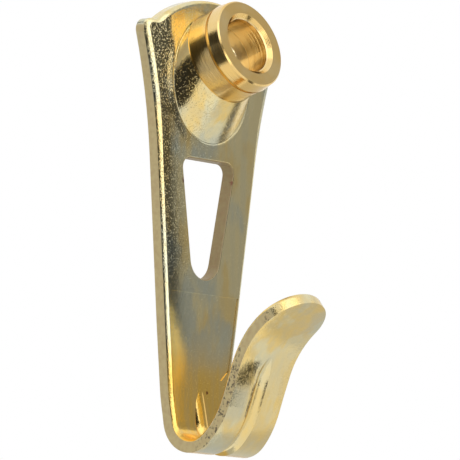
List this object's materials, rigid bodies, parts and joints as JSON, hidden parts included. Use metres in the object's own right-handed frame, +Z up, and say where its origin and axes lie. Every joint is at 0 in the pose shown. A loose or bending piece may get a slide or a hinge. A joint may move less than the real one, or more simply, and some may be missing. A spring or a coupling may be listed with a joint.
{
  "type": "picture hanger",
  "caption": "Bent strip wall hook with a window, a drawn boss and a slanted turned bushing that guides the nail.",
  "frame": {"origin": "on the flat back face, on the centre line, in the middle of the land between the window and the bend", "axes": "+Z up along the plate, +Y into the wall, -Y out towards the hook's tip, X across"},
  "size_m": [0.0168, 0.0135, 0.0385],
  "materials": {
    "plated_steel": "brass plated steel, bright, with darker clouds",
    "turned_brass": "turned brass, as machined"
  },
  "bodies": {
    "root": {"hook_plate": "plated_steel", "nail_bushing": "turned_brass"}
  },
  "joints": []
}
